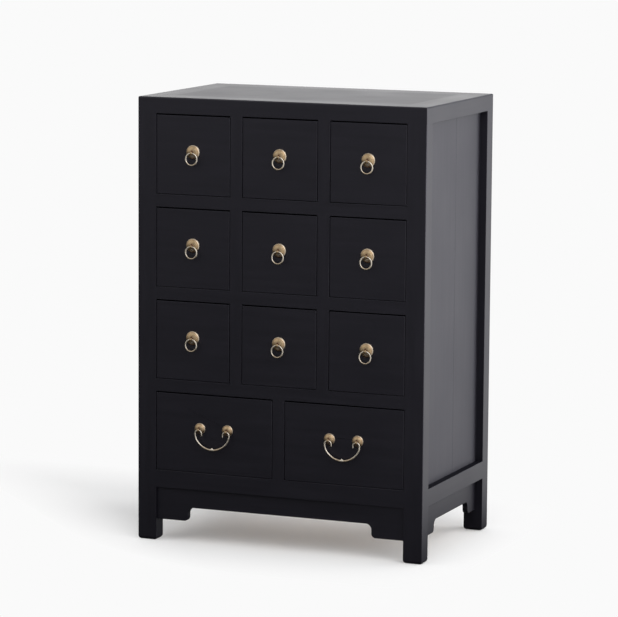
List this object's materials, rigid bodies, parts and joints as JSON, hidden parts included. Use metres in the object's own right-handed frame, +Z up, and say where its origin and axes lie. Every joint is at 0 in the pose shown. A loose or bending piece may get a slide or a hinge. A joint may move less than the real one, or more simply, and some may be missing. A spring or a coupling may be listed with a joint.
{
  "type": "medicine cabinet",
  "caption": "Free-standing black lacquered medicine cabinet with small square drawers on brass ring pulls over wide drawers on brass bail pulls, between recessed side panels and arched aprons.",
  "frame": {"origin": "On the floor, under the middle of the object's box, pulls included", "axes": "+Z up; drawers open towards -Y; +X to the right of a person who faces the drawers"},
  "size_m": [0.614, 0.4004, 0.9],
  "materials": {
    "black_lacquer": "satin black lacquer over wood",
    "drawer_wood": "bare planed wood with a thin clear seal",
    "brass": "satin antiqued brass"
  },
  "bodies": {
    "case": {"front_left_post": "black_lacquer", "front_right_post": "black_lacquer", "rear_left_post": "black_lacquer", "rear_right_post": "black_lacquer", "top_frame": "black_lacquer", "top_panel": "black_lacquer", "front_rails": "black_lacquer", "front_stiles": "black_lacquer", "side_rails": "black_lacquer", "side_panels": "black_lacquer", "side_aprons": "black_lacquer", "front_apron": "black_lacquer", "back_panel": "black_lacquer", "back_rails": "drawer_wood", "drawer_runners": "drawer_wood", "drawer_guides": "drawer_wood"},
    "row1_left_drawer": {"row1_left_drawer_front": "black_lacquer", "row1_left_drawer_box": "drawer_wood", "row1_left_pull_plate": "brass"},
    "row1_left_ring": {"row1_left_pull_ring": "brass"},
    "row1_middle_drawer": {"row1_middle_drawer_front": "black_lacquer", "row1_middle_drawer_box": "drawer_wood", "row1_middle_pull_plate": "brass"},
    "row1_middle_ring": {"row1_middle_pull_ring": "brass"},
    "row1_right_drawer": {"row1_right_drawer_front": "black_lacquer", "row1_right_drawer_box": "drawer_wood", "row1_right_pull_plate": "brass"},
    "row1_right_ring": {"row1_right_pull_ring": "brass"},
    "row2_left_drawer": {"row2_left_drawer_front": "black_lacquer", "row2_left_drawer_box": "drawer_wood", "row2_left_pull_plate": "brass"},
    "row2_left_ring": {"row2_left_pull_ring": "brass"},
    "row2_middle_drawer": {"row2_middle_drawer_front": "black_lacquer", "row2_middle_drawer_box": "drawer_wood", "row2_middle_pull_plate": "brass"},
    "row2_middle_ring": {"row2_middle_pull_ring": "brass"},
    "row2_right_drawer": {"row2_right_drawer_front": "black_lacquer", "row2_right_drawer_box": "drawer_wood", "row2_right_pull_plate": "brass"},
    "row2_right_ring": {"row2_right_pull_ring": "brass"},
    "row3_left_drawer": {"row3_left_drawer_front": "black_lacquer", "row3_left_drawer_box": "drawer_wood", "row3_left_pull_plate": "brass"},
    "row3_left_ring": {"row3_left_pull_ring": "brass"},
    "row3_middle_drawer": {"row3_middle_drawer_front": "black_lacquer", "row3_middle_drawer_box": "drawer_wood", "row3_middle_pull_plate": "brass"},
    "row3_middle_ring": {"row3_middle_pull_ring": "brass"},
    "row3_right_drawer": {"row3_right_drawer_front": "black_lacquer", "row3_right_drawer_box": "drawer_wood", "row3_right_pull_plate": "brass"},
    "row3_right_ring": {"row3_right_pull_ring": "brass"},
    "bottom_left_drawer": {"bottom_left_drawer_front": "black_lacquer", "bottom_left_drawer_box": "drawer_wood", "bottom_left_pull_bosses": "brass"},
    "bottom_left_bail": {"bottom_left_pull_bail": "brass"},
    "bottom_right_drawer": {"bottom_right_drawer_front": "black_lacquer", "bottom_right_drawer_box": "drawer_wood", "bottom_right_pull_bosses": "brass"},
    "bottom_right_bail": {"bottom_right_pull_bail": "brass"}
  },
  "joints": [
    {"name": "row1_left_drawer_slide", "type": "slide", "parent": "case", "child": "row1_left_drawer", "axis": [0, -1, 0], "range_m": [0, 0.26]},
    {"name": "row1_left_ring_swing", "type": "hinge", "parent": "row1_left_drawer", "child": "row1_left_ring", "pos_m": [-0.18667, -0.19675, 0.79112], "axis": [-1, 0, 0], "range_deg": [-15, 180]},
    {"name": "row1_middle_drawer_slide", "type": "slide", "parent": "case", "child": "row1_middle_drawer", "axis": [0, -1, 0], "range_m": [0, 0.26]},
    {"name": "row1_middle_ring_swing", "type": "hinge", "parent": "row1_middle_drawer", "child": "row1_middle_ring", "pos_m": [0, -0.19675, 0.79112], "axis": [-1, 0, 0], "range_deg": [-15, 180]},
    {"name": "row1_right_drawer_slide", "type": "slide", "parent": "case", "child": "row1_right_drawer", "axis": [0, -1, 0], "range_m": [0, 0.26]},
    {"name": "row1_right_ring_swing", "type": "hinge", "parent": "row1_right_drawer", "child": "row1_right_ring", "pos_m": [0.18667, -0.19675, 0.79112], "axis": [-1, 0, 0], "range_deg": [-15, 180]},
    {"name": "row2_left_drawer_slide", "type": "slide", "parent": "case", "child": "row2_left_drawer", "axis": [0, -1, 0], "range_m": [0, 0.26]},
    {"name": "row2_left_ring_swing", "type": "hinge", "parent": "row2_left_drawer", "child": "row2_left_ring", "pos_m": [-0.18667, -0.19675, 0.60437], "axis": [-1, 0, 0], "range_deg": [-15, 180]},
    {"name": "row2_middle_drawer_slide", "type": "slide", "parent": "case", "child": "row2_middle_drawer", "axis": [0, -1, 0], "range_m": [0, 0.26]},
    {"name": "row2_middle_ring_swing", "type": "hinge", "parent": "row2_middle_drawer", "child": "row2_middle_ring", "pos_m": [0, -0.19675, 0.60437], "axis": [-1, 0, 0], "range_deg": [-15, 180]},
    {"name": "row2_right_drawer_slide", "type": "slide", "parent": "case", "child": "row2_right_drawer", "axis": [0, -1, 0], "range_m": [0, 0.26]},
    {"name": "row2_right_ring_swing", "type": "hinge", "parent": "row2_right_drawer", "child": "row2_right_ring", "pos_m": [0.18667, -0.19675, 0.60437], "axis": [-1, 0, 0], "range_deg": [-15, 180]},
    {"name": "row3_left_drawer_slide", "type": "slide", "parent": "case", "child": "row3_left_drawer", "axis": [0, -1, 0], "range_m": [0, 0.26]},
    {"name": "row3_left_ring_swing", "type": "hinge", "parent": "row3_left_drawer", "child": "row3_left_ring", "pos_m": [-0.18667, -0.19675, 0.41763], "axis": [-1, 0, 0], "range_deg": [-15, 180]},
    {"name": "row3_middle_drawer_slide", "type": "slide", "parent": "case", "child": "row3_middle_drawer", "axis": [0, -1, 0], "range_m": [0, 0.26]},
    {"name": "row3_middle_ring_swing", "type": "hinge", "parent": "row3_middle_drawer", "child": "row3_middle_ring", "pos_m": [0, -0.19675, 0.41763], "axis": [-1, 0, 0], "range_deg": [-15, 180]},
    {"name": "row3_right_drawer_slide", "type": "slide", "parent": "case", "child": "row3_right_drawer", "axis": [0, -1, 0], "range_m": [0, 0.26]},
    {"name": "row3_right_ring_swing", "type": "hinge", "parent": "row3_right_drawer", "child": "row3_right_ring", "pos_m": [0.18667, -0.19675, 0.41763], "axis": [-1, 0, 0], "range_deg": [-15, 180]},
    {"name": "bottom_left_drawer_slide", "type": "slide", "parent": "case", "child": "bottom_left_drawer", "axis": [0, -1, 0], "range_m": [0, 0.26]},
    {"name": "bottom_left_bail_swing", "type": "hinge", "parent": "bottom_left_drawer", "child": "bottom_left_bail", "pos_m": [-0.14, -0.19675, 0.23488], "axis": [-1, 0, 0], "range_deg": [-9, 180]},
    {"name": "bottom_right_drawer_slide", "type": "slide", "parent": "case", "child": "bottom_right_drawer", "axis": [0, -1, 0], "range_m": [0, 0.26]},
    {"name": "bottom_right_bail_swing", "type": "hinge", "parent": "bottom_right_drawer", "child": "bottom_right_bail", "pos_m": [0.14, -0.19675, 0.23488], "axis": [-1, 0, 0], "range_deg": [-9, 180]}
  ]
}
